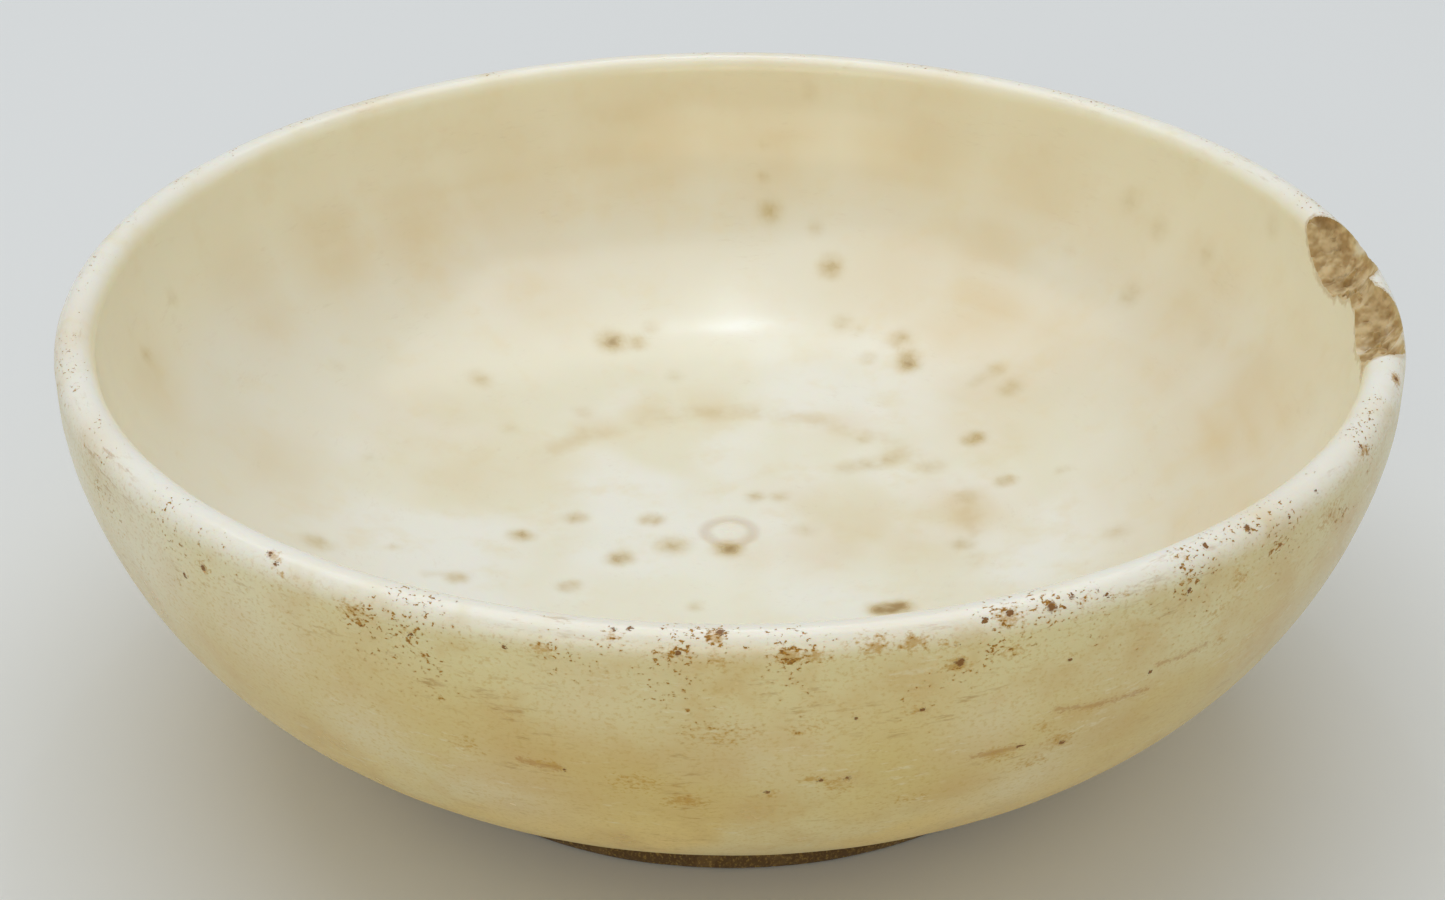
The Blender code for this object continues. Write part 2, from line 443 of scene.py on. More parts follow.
# Dirt in the pits outside: azimuth in degrees, height in mm, size in mm, strength
OUTSIDE_DIRT = (
    (-124, 66.3, 0.9, 0.9), (-125, 67.6, 1.2, 0.9), (-132, 62, 1.6, 0.9), (-136, 57, 1.2, 0.6),
    (-117.3, 64.6, 2.5, 0.9), (-112, 61, 1.5, 0.8), (-112, 64, 1.8, 0.3), (-109, 65, 1.8, 0.35),
    (-142, 54, 1.8, 0.6), (-142, 48, 1.6, 0.6), (-103, 65, 1.8, 1.0), (-98, 67.2, 1.8, 0.7),
    (-91, 67.6, 1.3, 1.1), (-94, 66, 2.6, 0.75), (-91, 65, 1.7, 0.85), (-86, 65.5, 2.6, 0.95),
    (-84, 65.5, 2.0, 0.8), (-80, 66, 3.0, 0.8), (-77, 66, 2.0, 0.95), (-77, 56, 1.4, 0.8),
    (-81, 56, 1.2, 0.6), (-84, 55, 1.8, 0.6), (-103, 46, 1.1, 1.1), (-84, 45, 1.5, 1.1),
    (-82, 44, 1.6, 0.9), (-87, 42, 1.3, 0.9), (-94, 40, 2.4, 0.65), (-98, 27, 1.4, 0.5),
    (-74, 62, 1.9, 1.1), (-75, 65, 1.4, 0.8), (-65, 59, 1.0, 0.7), (-70, 67, 2.6, 0.8),
    (-67, 67, 2.0, 0.6), (-64, 67, 2.0, 0.45), (-61, 66.5, 2.2, 0.35), (-58, 67, 2.0, 0.35),
    (-55, 67.6, 1.8, 0.6), (-51, 67.4, 1.6, 0.4), (-48, 67.4, 1.5, 0.45), (-45.2, 63.2, 2.4, 0.7),
    (-35, 60, 2.6, 0.65), (-31, 66.5, 1.7, 0.9), (-30, 63, 1.6, 0.7), (-70, 45, 1.9, 0.85),
    (-66, 48, 2.6, 0.5), (-64, 43.5, 2.8, 0.7), (-18.5, 67.2, 1.6, 1.2), (-50, 52, 1.8, 0.7),
    (-51, 58, 2.0, 0.6), (-62, 49, 2.0, 0.6), (-111, 55, 1.6, 0.6), (-117, 50, 2.0, 0.5),
    (-92, 54, 3.0, 0.5), (-78, 37, 2.2, 0.5), (-148, 62, 2.2, 0.5), (160, 55, 2.0, 0.8),
    (165, 66, 2.4, 0.8), (140, 45, 3.0, 0.6), (128, 40, 1.6, 1.0), (110, 61, 2.4, 0.8),
    (105, 66, 2.4, 0.7), (95, 52, 2.2, 0.8), (80, 63, 2.6, 0.7), (62, 33, 2.2, 0.8),
    (45, 38, 3.2, 0.5), (35, 58, 1.8, 0.8), (30, 66, 2.0, 0.8), (15, 30, 1.9, 0.9),
    (-10, 48, 2.4, 0.6), (-175, 36, 2.2, 0.7), (-109.5, 47, 3.0, 0.6), (-97, 44, 4.0, 0.7),
    (-93, 40.4, 2.6, 0.9), (-90.4, 54, 4.5, 0.6), (-82, 42.5, 2.6, 0.7), (-76, 38, 3.0, 0.6),
    (-85, 54, 2.0, 0.6), (-104, 45.5, 3.5, 0.5), (-70, 62.5, 3.2, 0.7), (-55, 64.9, 2.2, 0.7),
    (-49.3, 61.8, 2.6, 0.7), (-51.6, 57.9, 2.2, 0.7), (-37.4, 62, 3.4, 0.8),
    (-64.2, 44.5, 2.6, 0.9), (-69, 44.5, 3.0, 0.8), (-66, 40.6, 3.0, 0.7), (-113, 63.6, 1.8, 0.7),
)

# Tan and ochre patches inside: azimuth in degrees, radius in mm, size in mm, strength
INSIDE_PATCHES = (
    (151, 56, 12, 0.35), (161, 46, 10, 0.35), (150, 38, 9, 0.25), (39, 73, 13, 0.6),
    (5, 82, 16, 0.9), (-11, 76, 14, 0.7), (26, 85, 14, 0.65), (129, 87, 13, 0.6),
    (116, 89, 14, 0.7), (101, 91, 15, 0.7), (86, 92, 15, 0.65), (69, 91, 15, 0.6),
    (53, 90, 14, 0.5), (40, 88, 12, 0.45), (10, 21, 9, 0.5), (52, 72, 13, 0.8), (66, 77, 12, 0.6),
    (36, 52, 12, 0.4), (3, 66, 14, 0.3), (176, 73, 10, 0.35), (115, 82, 9, 0.45), (38, 16, 7, 0.4),
    (-22, 15, 8, 0.6), (8, 38, 10, 0.7), (156, 85, 7, 0.4), (41, 62, 11, 0.7), (56, 83, 12, 0.6),
    (22, 80, 12, 0.6), (-6, 31, 8, 0.5), (-50, 8, 7, 0.35), (141, 88, 10, 0.6), (155, 90, 9, 0.35),
    (179, 89, 8, 0.4), (110, 40, 5, 0.5), (125, 39, 5, 0.5), (95, 40, 5, 0.45), (60, 39, 5, 0.45),
    (118, 74, 9, 0.4),
)

# Pale places inside: azimuth in degrees, radius in mm, size in mm, strength. Those at azimuth -95, -120
# and -60 are worn stone; the two at azimuth 90 lie round the highlight and are painted sheen.
INSIDE_PALE = (
    (-95, 20, 20, 0.6), (-120, 32, 16, 0.5), (-60, 30, 14, 0.4), (90, 52, 12, 0.4),
    (90, 66, 8, 0.5),
)

# Pale worn places outside: azimuth in degrees, height in mm, size in mm, strength
OUTSIDE_PALE = (
    (-128, 58, 13, 0.5), (-141, 61, 15, 0.8), (-156, 56, 16, 0.6), (-119, 44, 9, 0.45),
    (-108, 38, 9, 0.5), (-100, 57, 8, 0.3), (-86, 50, 8, 0.3), (-71, 50, 7, 0.4),
    (-66, 36, 9, 0.45), (100, 56, 14, 0.5), (20, 60, 12, 0.5), (150, 60, 12, 0.5),
)

# Dark dots outside: azimuth in degrees, height in mm, size in mm
DOTS = (
    (-102.2, 45.2, 0.65), (-83.2, 44.5, 0.8), (-81.2, 44.3, 0.9), (-87.1, 42.5, 0.7),
    (-76.3, 55.8, 0.6), (-105.7, 64.7, 0.7), (-90.6, 67.9, 0.9), (-98.1, 67.8, 0.6),
    (-96.9, 67.9, 0.6), (-112.8, 63.6, 0.5), (-73.8, 62.2, 1.4), (-74.1, 64.7, 0.6),
    (-81.1, 55.6, 0.45), (-125.5, 67.7, 0.9), (-124.6, 67.0, 0.8), (-132.1, 61.9, 1.0),
    (-134.7, 58.9, 0.7), (-48.1, 67.5, 1.1), (-66.7, 67.1, 1.3), (-69.9, 67.3, 0.8),
    (-71.9, 67.1, 0.7), (-18.5, 67.3, 1.1), (-31.0, 67.2, 0.7), (-93.5, 66.0, 0.6),
    (-64.9, 67.4, 0.7), (-62.8, 67.3, 0.6), (-62.2, 66.7, 0.5), (-52.5, 67.7, 0.8),
    (-43.6, 66.4, 0.6), (-39.4, 67.0, 0.5), (-65.2, 59.0, 0.6), (-57.3, 52.0, 0.5),
    (-67.6, 45.2, 0.6), (-63.7, 43.3, 1.0), (-54.8, 63.2, 0.7),
)

# Thin brown veins outside, each through points of azimuth in degrees and height in mm
VEINS = (
    ((-65.5, 50.8), (-61.8, 49.4), (-57.0, 48.7)),
    ((-56.5, 52.9), (-51.7, 52.7)),
    ((-71.6, 45.1), (-67.6, 45.2)),
    ((-105.5, 45.9), (-102.4, 45.2)),
)

# Golden patches outside: azimuth in degrees, height in mm, size in mm, strength. Those low on the front
# are partly the stone's tan and partly painted warm bounce light.
OUTSIDE_PATCHES = (
    (-60, 46, 12, 0.9), (-72, 42, 10, 0.7), (-90, 47, 13, 0.7), (-104, 42, 13, 0.8),
    (-118, 52, 12, 0.5), (-45, 58, 11, 0.7), (-32, 56, 10, 0.6), (-78, 58, 10, 0.5),
    (-130, 44, 12, 0.5), (170, 45, 15, 0.6), (-170, 67, 12, 0.35), (-150, 67, 8, 0.25),
    (130, 52, 15, 0.6), (90, 45, 16, 0.7), (50, 42, 15, 0.6), (15, 50, 12, 0.6), (-12, 42, 12, 0.6),
    (-92, 59, 9, 0.5), (-100, 59, 9, 0.4), (-85, 57, 8, 0.3), (-42, 46, 12, 0.6),
)


def surface_point(azimuth_deg, radius, height):
    return hand_turned(radius, height, math.radians(azimuth_deg))


def inside_point(azimuth_deg, radius_mm):
    """The point of the bowl's inner surface at a radius."""
    outline = inside_outline()
    height = np.interp(radius_mm * MM, outline[:, 0], outline[:, 1])
    return surface_point(azimuth_deg, radius_mm * MM, height)


def outside_point(azimuth_deg, height_mm):
    """The point of the outer surface at a height."""
    height = height_mm * MM
    if height > LIP_CENTRE_Z:
        reach = math.sqrt(max(LIP_RADIUS**2 - (height - LIP_CENTRE_Z) ** 2, 0))
        return surface_point(azimuth_deg, RIM_RADIUS - LIP_RADIUS + reach, height)
    outline = belly_outline()[::-1]
    return surface_point(azimuth_deg, np.interp(height, outline[:, 1], outline[:, 0]), height)


def spread(points, marks, place, flatten=1.0):
    """The strongest mark at each point. Each fades like a bell round its place, flatten times as low."""
    total = np.zeros(len(points))
    for azimuth_deg, position_mm, size_mm, strength in marks:
        away = np.linalg.norm((points - place(azimuth_deg, position_mm)) * (1, 1, flatten), axis=1)
        total = np.maximum(total, np.exp(-((away / (size_mm * MM)) ** 2)) * strength)
    return total


def run_lengths(points):
    """How far along the profile from the floor's middle each point lies, and where the lip's top is."""
    line = spaced(bowl_rows(), 0.1 * MM)
    tree = kdtree.KDTree(len(line))
    for i, (radius, height) in enumerate(line):
        tree.insert((radius, height, 0), i)
    tree.balance()
    radii = np.hypot(points[:, 0], points[:, 1])
    nearest = [tree.find((radius, height, 0))[1] for radius, height in zip(radii, points[:, 2])]
    gap = np.linalg.norm(line[1] - line[0])
    lip_top = line[:, 1].argmax()
    return np.array(nearest) * gap, lip_top * gap


def broken_shares(mesh):
    """How much of each vertex's surroundings the fracture takes up, and which faces are the fracture."""
    index = np.empty(len(mesh.polygons), dtype=np.int32)
    mesh.polygons.foreach_get("material_index", index)
    corners = np.empty(len(mesh.loops), dtype=np.int32)
    mesh.loops.foreach_get("vertex_index", corners)
    sizes = np.empty(len(mesh.polygons), dtype=np.int32)
    mesh.polygons.foreach_get("loop_total", sizes)
    broken = np.bincount(corners, weights=np.repeat(index, sizes), minlength=len(mesh.vertices))
    used = np.bincount(corners, minlength=len(mesh.vertices))
    return broken / np.maximum(used, 1), index


def near_break(points, broken):
    """1 at the chip, falling to 0 a few millimetres away."""
    edge = np.flatnonzero(broken > 0)
    tree = kdtree.KDTree(len(edge))
    for i in edge:
        tree.insert(points[i], int(i))
    tree.balance()
    near = np.zeros(len(points))
    chipped_side = (points[:, 0] > NEAR_CHIP_X) & (points[:, 2] > NEAR_CHIP_Z)
    for i in np.flatnonzero(chipped_side):
        near[i] = math.exp(-tree.find(points[i])[2] / EDGE_FADE)
    return near


def add_attribute(mesh, name, values, domain="POINT"):
    attribute = mesh.attributes.new(name, "FLOAT", domain)
    attribute.data.foreach_set("value", values.astype(np.float32))


def cells(points, run, length_mm, width_mm):
    """Points moved so that noise in them is length_mm long round the rim and width_mm wide across it."""
    radii = np.maximum(np.hypot(points[:, 0], points[:, 1]), CELLS_FROM_RADIUS)
    turn = RIM_RADIUS / radii / (length_mm * MM)
    return np.column_stack([points[:, 0] * turn, points[:, 1] * turn, run / (width_mm * MM)])


def rise(values, low, high):
    """0 below low, 1 above high, and a smooth rise between."""
    share = np.clip((values - low) / (high - low), 0, 1)
    return share * share * (3 - 2 * share)


def both_sides(points, outside, inside_marks, outside_marks):
    """The marks of the two faces together; on the lip both count."""
    inner = np.where(outside < INSIDE_UP_TO, spread(points, inside_marks, inside_point), 0)
    outer = np.where(outside > OUTSIDE_FROM, spread(points, outside_marks, outside_point), 0)
    return np.maximum(inner, outer)


def tan_shares(points, outside, run, patches):
    """Tan patches, which streaks along the turning thin out, more outside than inside."""
    bands = cloud_noise(cells(points, run, length_mm=50, width_mm=7), 1.0, seed=2.0)
    streaky = rise(bands + 0.6 * patches, -0.45, 0.55)
    kept = np.where(outside < INSIDE_UP_TO, 0.65 + 0.35 * streaky, 0.45 + 0.55 * streaky)
    return both_sides(points, outside, INSIDE_PATCHES, OUTSIDE_PATCHES) * kept


def soil_shares(points, outside, dirt, patches):
    """How thickly specks lie: a few everywhere, more in the band under the lip, most in the dirt."""
    band = rise(points[:, 2], *SPECK_BAND) * rise(outside, OUTSIDE_FROM, 0.5)
    return 0.08 + 0.38 * band * rise(patches, -0.45, 0.45) + 0.32 * dirt


def add_wear(mesh):
    """Where the stone is stained, dirty, tanned and broken, as attributes that its material reads."""
    points = vertex_points(mesh)
    run, lip_top = run_lengths(points)
    outside = np.clip(0.5 + (run - lip_top) / (math.pi * LIP_RADIUS), 0, 1)
    broken, face_broken = broken_shares(mesh)
    stains = spread(points, INSIDE_STAINS, inside_point)
    smudges = spread(points, OUTSIDE_DIRT, outside_point, DIRT_FLATTEN)
    dirt = np.where(outside > OUTSIDE_FROM, smudges, 0)
    patches = cloud_noise(points, PATCH_SIZE, seed=7.0)
    lines = cloud_noise(cells(points, run, length_mm=16, width_mm=8), 1.0, seed=5.0)
    attributes = {
        "run": run,
        "outside": outside,
        "clouds": 0.5 + 0.5 * cloud_noise(points, CLOUD_SIZE, seed=1.0),
        "tan": tan_shares(points, outside, run, patches),
        "stain": np.where(outside < INSIDE_UP_TO, stains, 0),
        "dirt": dirt,
        "pale": both_sides(points, outside, INSIDE_PALE, OUTSIDE_PALE),
        "soil": soil_shares(points, outside, dirt, patches),
        "brown_lines": rise(lines, -0.1, 0.5) * (0.08 + 0.55 * outside),
        "pale_lines": rise(-lines, -0.2, 0.5) * (0.06 + 0.30 * outside),
        "near_break": near_break(points, broken),
    }
    for name, values in attributes.items():
        add_attribute(mesh, name, values)
    add_attribute(mesh, "broken", face_broken, "FACE")


# ---------------------------------------------------------------- materials

PER_MM = 1000


def srgb(red, green, blue):
    """A colour given as 0 to 255, in the linear values that Blender's sockets take."""
    shares = np.array([red, green, blue]) / 255
    linear = np.where(shares <= 0.04045, shares / 12.92, ((shares + 0.055) / 1.055) ** 2.4)
    return tuple(float(value) for value in linear)


# The clean stone inside and outside, and the worn lip. The gold outside is partly the stone's tone and
# partly painted warm bounce light, and the lighter gold low on the belly is painted bounce light.
INSIDE_WHITE = srgb(248, 246, 234)
INSIDE_CREAM = srgb(241, 236, 212)
FLOOR_EDGE_CREAM = srgb(236, 230, 209)
WALL_CREAM = srgb(243, 236, 206)
INSIDE_CLOUD = srgb(236, 222, 184)
# pale worn stone inside, and painted sheen round the highlight
INSIDE_WORN_AND_SHEEN = srgb(253, 250, 232)
UNDER_LIP = srgb(222, 212, 160)
# the stone's golden tone outside, deepened with painted warm bounce light
BELLY_GOLD_AND_BOUNCE = srgb(214, 194, 124)
# painted warm bounce light from the floor: the low belly lighter and more golden
PAINTED_BOUNCE_GOLD = srgb(240, 210, 130)
OUTSIDE_CLOUD = srgb(220, 215, 172)
OUTSIDE_TAN_CLOUD = srgb(206, 174, 104)
OUTSIDE_WORN = srgb(236, 233, 210)
LIP_WHITE = srgb(246, 244, 234)

# Patches, lines of the turning and stains
INSIDE_TAN = srgb(224, 196, 136)
OUTSIDE_TAN = srgb(204, 168, 98)
FLOOR_RING_BROWN = srgb(214, 190, 138)
CENTRE_MARK_BROWN = srgb(180, 142, 96)
LINE_BROWN = srgb(170, 128, 54)
LINE_PALE = srgb(232, 227, 194)
STAIN_OLIVE = srgb(196, 166, 82)
STAIN_CORE = srgb(150, 110, 30)
VEIN_BROWN = srgb(176, 124, 40)

# Dirt outside, the broken stone and the foot, whose darkest colour is grime and painted shade
GRAIN_TAN = srgb(196, 160, 78)
SMUDGE_GOLD = srgb(190, 146, 46)
SPECK_GOLD = srgb(188, 134, 8)
SPECK_BROWN = srgb(132, 86, 0)
SPOT_BROWN = srgb(130, 82, 0)
BROKEN_BROWN = srgb(168, 138, 88)
BROKEN_TAN = srgb(208, 184, 138)
BROKEN_PALE = srgb(232, 220, 192)
BROKEN_DARK = srgb(136, 104, 58)
ROUGH_TAN = srgb(186, 154, 98)
FOOT_TAN = srgb(206, 178, 122)
# grime on the foot's wall, and painted shade where the foot meets the floor
GRIME_AND_SHADE = srgb(74, 48, 12)

# Tones laid one over another: what each follows, where it begins and is full, its strength and its colour
INNER_TONES = (
    ("height", 0.0245, 0.0330, 0.80, FLOOR_EDGE_CREAM),
    ("height", 0.0380, 0.0560, 0.85, WALL_CREAM),
    ("small_clouds", 0.48, 0.78, 0.40, INSIDE_CLOUD),
)
OUTER_TONES = (
    # painted bounce light: lighter gold towards the bottom of the belly
    ("height", 0.0440, 0.0200, 1.00, PAINTED_BOUNCE_GOLD),
    ("clouds", 0.44, 0.70, 0.45, OUTSIDE_CLOUD),
    ("small_clouds", 0.45, 0.72, 0.50, OUTSIDE_TAN_CLOUD),
)

# How far the stain of the floor's ring and that of the centre mark reach: (edge, full core)
FLOOR_RING_STAIN = (3.6 * MM, 0.0)
CENTRE_MARK_STAIN = (1.8 * MM, 0.2 * MM)

# A dot's edge and its full core as shares of its size, a vein's half width, and how much grain makes the
# edges of each wander
DOT_EDGE = 0.58
DOT_CORE = 0.24
DOT_WOBBLE = 1.8 * MM
VEIN_WIDTH = 0.75 * MM
VEIN_WOBBLE = 3.4 * MM

# Noise of the marble: (cells per metre, detail, roughness)
SMALL_CLOUDS = (PER_MM / 8, 3, 0.6)
RAGGED = (PER_MM / 2.4, 2, 0.6)

# Roughness of polished stone, and what each kind of wear adds to it
POLISHED = 0.14
OUTSIDE_ADDS = 0.05
CLOUDS_ADD = 0.12
DIRT_ADDS = 0.30
BROKEN_ROUGHNESS = 0.85

# Light inside the stone: share, how far each colour travels, and the distance it is measured in
SUBSURFACE_SHARE = 0.25
SUBSURFACE_RADIUS = (1.0, 0.65, 0.35)
SUBSURFACE_SCALE = 0.006
MARBLE_IOR = 1.5

# Edges steeper than this stay sharp: the foot's, and those of the broken stone
SHARP_FROM_DEG = 35


class Graph:
    """A material's nodes, added one by one. Each input takes a socket or a plain value."""

    def __init__(self, name):
        self.material = bpy.data.materials.new(name)
        self.material.use_nodes = True
        self.tree = self.material.node_tree
        self.shader = self.tree.nodes["Principled BSDF"]

    def feed(self, socket, value):
        if isinstance(value, bpy.types.NodeSocket):
            self.tree.links.new(value, socket)
        elif socket.type == "RGBA" and len(value) == 3:
            socket.default_value = (*value, 1)
        else:
            socket.default_value = value

    def node(self, kind, inputs=None, **settings):
        node = self.tree.nodes.new(kind)
        for name, value in settings.items():
            setattr(node, name, value)
        for name, value in (inputs or {}).items():
            self.feed(node.inputs[name], value)
        return node

    def math(self, operation, first, second=0.0):
        return self.node("ShaderNodeMath", {0: first, 1: second}, operation=operation).outputs[0]

    def vector(self, operation, first, second):
        """The result of a vector operation: a number for DISTANCE and DOT_PRODUCT, else a vector."""
        node = self.node("ShaderNodeVectorMath", {0: first, 1: second}, operation=operation)
        return node.outputs["Value" if operation in ("DISTANCE", "DOT_PRODUCT") else "Vector"]

    def add(self, first, second):
        return self.math("ADD", first, second)

    def times(self, first, second):
        return self.math("MULTIPLY", first, second)

    def minus(self, first, second):
        return self.math("SUBTRACT", first, second)

    def attribute(self, name):
        return self.node("ShaderNodeAttribute", attribute_name=name).outputs["Fac"]

    def noise(self, vector, scale, detail=3.0, roughness=0.5, distortion=0.0):
        inputs = {"Vector": vector, "Scale": scale, "Detail": detail}
        inputs.update({"Roughness": roughness, "Distortion": distortion})
        return self.node("ShaderNodeTexNoise", inputs).outputs["Fac"]

    def step(self, value, low, high, to=1.0):
        """0 at low and to at high, with a smooth change between them. High may be the smaller one."""
        start, end = (low, high) if low < high else (high, low)
        values = {"Value": value, "From Min": start, "From Max": end}
        values.update({"To Min": 0.0, "To Max": to} if low < high else {"To Min": to, "To Max": 0.0})
        return self.node("ShaderNodeMapRange", values, interpolation_type="SMOOTHSTEP").outputs["Result"]

    def mix(self, share, first, second):
        return self.node("ShaderNodeMix", {0: share, 6: first, 7: second}, data_type="RGBA").outputs[2]


class Turned:
    """Coordinates on a turned surface: the point itself, and what noise along the turning needs."""

    def __init__(self, graph):
        self.graph = graph
        self.point = graph.node("ShaderNodeTexCoord").outputs["Object"]
        self.x, self.y, self.height = graph.node("ShaderNodeSeparateXYZ", {0: self.point}).outputs
        squares = graph.add(graph.times(self.x, self.x), graph.times(self.y, self.y))
        self.radius = graph.math("SQRT", squares)
        self.run = graph.attribute("run")

    def cells(self, length_mm, width_mm):
        """A vector whose noise cells are length_mm long round the rim and width_mm wide across it."""
        radius = self.graph.math("MAXIMUM", self.radius, CELLS_FROM_RADIUS)
        turn = self.graph.math("DIVIDE", RIM_RADIUS * PER_MM / length_mm, radius)
        x, y = self.graph.times(self.x, turn), self.graph.times(self.y, turn)
        run = self.graph.times(self.run, PER_MM / width_mm)
        return self.graph.node("ShaderNodeCombineXYZ", {0: x, 1: y, 2: run}).outputs[0]


def toned(g, follows, colour, tones):
    for what, begins, full, strength, tone in tones:
        colour = g.mix(g.step(follows[what], begins, full, strength), colour, tone)
    return colour


def stone_colour(g, at, outside, small_clouds):
    """Creamy white inside, with pale places that include painted sheen round the highlight; golden
    outside, where painted warm bounce light deepens the gold and lightens the low belly; whiter on the
    worn lip, with cloudy changes between tones.
    """
    clouds, pale = g.attribute("clouds"), g.attribute("pale")
    follows = {"height": at.height, "clouds": clouds, "small_clouds": small_clouds}
    inner = g.mix(g.step(clouds, 0.36, 0.64), INSIDE_WHITE, INSIDE_CREAM)
    inner = toned(g, follows, inner, INNER_TONES)
    # pale places inside: worn stone, and painted sheen beside the highlight at azimuth 90
    inner = g.mix(g.times(pale, 0.9), inner, INSIDE_WORN_AND_SHEEN)
    # gold below the lip: partly the stone's tone, partly painted warm bounce light
    outer = g.mix(g.step(at.height, 0.066, 0.046), UNDER_LIP, BELLY_GOLD_AND_BOUNCE)
    outer = toned(g, follows, outer, OUTER_TONES)
    outer = g.mix(g.times(pale, 0.8), outer, OUTSIDE_WORN)
    colour = g.mix(g.step(outside, 0.45, 1.0), inner, outer)
    lip = g.times(worn_lip(g, at, outside, small_clouds), 0.92)
    return g.mix(lip, colour, LIP_WHITE)


def worn_lip(g, at, outside, small_clouds):
    """1 on the lip's top and outer edge, less where clouds of grime are left on it."""
    high_up = g.step(at.height, HEIGHT - 4.2 * MM, HEIGHT)
    return g.times(g.times(high_up, g.step(outside, 0.05, 0.40)), g.step(small_clouds, 0.95, 0.45))


def tanned(g, colour, outside):
    """Warm tan in patches: lighter inside, deeper outside."""
    tan = g.mix(outside, INSIDE_TAN, OUTSIDE_TAN)
    # low on the front outside, the tan patches also carry painted warm bounce light
    return g.mix(g.times(g.attribute("tan"), 0.75), colour, tan)


def ring_shares(g, at, radius, half_width, core):
    """1 within core of a circle round the axis, falling to 0 at half_width from it."""
    away = g.math("ABSOLUTE", g.minus(at.radius, radius))
    return g.step(away, half_width, core)


def floor_rings(g, at, colour, outside, small_clouds):
    """The brownish line round the floor, broken and only on its far side, and the one at its centre."""
    inside = g.step(outside, 0.3, 0.1)
    far_side = g.step(g.add(at.y, g.times(at.x, 0.5)), -0.012, 0.020)
    line = ring_shares(g, at, FLOOR_RING_RADIUS, *FLOOR_RING_STAIN)
    ring = g.times(g.times(line, g.step(small_clouds, 0.34, 0.66)), inside)
    colour = g.mix(g.times(g.times(ring, far_side), 0.36), colour, FLOOR_RING_BROWN)
    mark = g.times(ring_shares(g, at, CENTRE_MARK_RADIUS, *CENTRE_MARK_STAIN), inside)
    return g.mix(g.times(mark, 0.26), colour, CENTRE_MARK_BROWN)


def streaked(g, at, colour):
    """Fine brown and pale lines of the turning, mostly outside, in patches."""
    lines = g.noise(at.cells(length_mm=4.5, width_mm=1.0), scale=1.0, detail=3, roughness=0.75)
    brown = g.times(g.step(lines, 0.53, 0.74), g.attribute("brown_lines"))
    colour = g.mix(brown, colour, LINE_BROWN)
    pale = g.times(g.step(lines, 0.46, 0.30), g.attribute("pale_lines"))
    return g.mix(pale, colour, LINE_PALE)


def stained(g, colour, ragged):
    """Soft olive-brown stains inside the bowl, and how much of each point is a stain's darker core."""
    stain = g.times(g.attribute("stain"), g.add(0.60, g.times(ragged, 0.8)))
    core = g.step(stain, 0.65, 1.30)
    colour = g.mix(g.step(stain, 0.08, 0.95, 0.62), colour, STAIN_OLIVE)
    return g.mix(g.times(core, 0.75), colour, STAIN_CORE), core


def dots(g, at, grain):
    """1 in the dark dots, whose edges are ragged."""
    wobble = g.times(g.minus(grain, 0.5), DOT_WOBBLE)
    total = 0.0
    for azimuth_deg, height_mm, size_mm in DOTS:
        centre = tuple(outside_point(azimuth_deg, height_mm))
        away = g.add(g.vector("DISTANCE", at.point, centre), wobble)
        spot = g.step(away, DOT_EDGE * size_mm * MM, DOT_CORE * size_mm * MM)
        total = g.math("MAXIMUM", total, spot)
    return total


def veined(g, at, colour, grain):
    """Thin broken lines of brown between the points of each vein."""
    wobble = g.times(g.minus(grain, 0.5), VEIN_WOBBLE)
    total = 0.0
    for points in VEINS:
        places = [Vector(outside_point(azimuth_deg, height_mm)) for azimuth_deg, height_mm in points]
        for start, end in zip(places, places[1:]):
            away = g.add(distance_to_line(g, at.point, start, end), wobble)
            total = g.math("MAXIMUM", total, g.step(away, VEIN_WIDTH, 0.0))
    return g.mix(g.times(total, 0.55), colour, VEIN_BROWN)


def distance_to_line(g, point, start, end):
    """How far each point lies from the straight line between two places."""
    along = end - start
    from_start = g.vector("SUBTRACT", point, tuple(start))
    share = g.times(g.vector("DOT_PRODUCT", from_start, tuple(along)), 1 / along.length_squared)
    share = g.node("ShaderNodeClamp", {"Value": share}).outputs[0]
    scaled = g.node("ShaderNodeVectorMath", {0: tuple(along), "Scale": share}, operation="SCALE")
    return g.vector("DISTANCE", from_start, scaled.outputs[0])


def dirty(g, at, colour, outside, ragged):
    """Golden-brown smudges outside, with brown specks that gather mostly in a band under the lip."""
    grain = g.noise(at.cells(length_mm=0.70, width_mm=0.50), scale=1.0, detail=2, roughness=0.6)
    tint = g.times(g.step(grain, 0.48, 0.74, 0.42), g.step(outside, 0.6, 1.0))
    colour = g.mix(tint, colour, GRAIN_TAN)
    dirt = g.attribute("dirt")
    mottled = g.add(g.times(dirt, g.add(0.3, ragged)), g.times(g.minus(grain, 0.5), 1.4))
    smudge = g.times(g.step(mottled, 0.20, 0.75), g.step(dirt, 0.05, 0.30))
    colour = g.mix(g.times(smudge, 0.70), colour, SMUDGE_GOLD)
    colour = veined(g, at, colour, grain)
    over = g.add(g.minus(grain, 0.80), g.times(g.attribute("soil"), 0.40))
    specks = g.times(g.step(over, 0.0, 0.045), g.step(outside, 0.1, 0.4))
    brown = g.mix(g.step(over, 0.03, 0.15), SPECK_GOLD, SPECK_BROWN)
    colour = g.mix(g.times(specks, 0.96), colour, brown)
    spots = dots(g, at, grain)
    return g.mix(g.times(spots, 0.97), colour, SPOT_BROWN), g.math("MAXIMUM", specks, spots)


